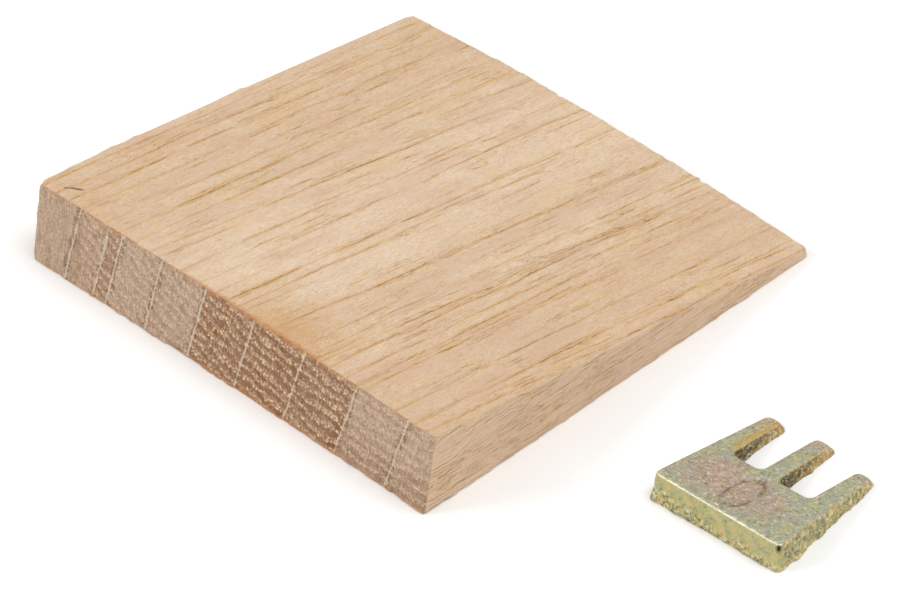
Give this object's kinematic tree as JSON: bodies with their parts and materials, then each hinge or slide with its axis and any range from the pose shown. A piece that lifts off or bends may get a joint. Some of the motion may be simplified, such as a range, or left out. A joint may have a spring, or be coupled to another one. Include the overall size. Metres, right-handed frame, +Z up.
{
  "type": "tool handle wedge set",
  "caption": "Handle wedge set for an axe or hammer eye: a tapered oak wedge, and a small cast metal wedge with prongs beside it.",
  "frame": {"origin": "middle of the box around both pieces as they lie side by side, on the surface they lie on", "axes": "+Y along both wedges from the thick butt to the thin edge, +X across them from the oak wedge to the metal one, +Z up"},
  "size_m": [0.0996, 0.0648, 0.0106],
  "materials": {
    "oak": "sawn and planed oak, unfinished, with open pores and a rough sawn end grain",
    "passivated_metal": "rough casting, zinc plated and yellow passivated, greenish gold with a pink tint"
  },
  "bodies": {
    "wooden_wedge": {"wooden_wedge": "oak"},
    "steel_wedge": {"steel_wedge": "passivated_metal"}
  },
  "joints": [
    {"name": "steel_lift", "type": "slide", "parent": "wooden_wedge", "child": "steel_wedge", "axis": [0, 0, 1], "range_m": [0, 0.03]}
  ]
}
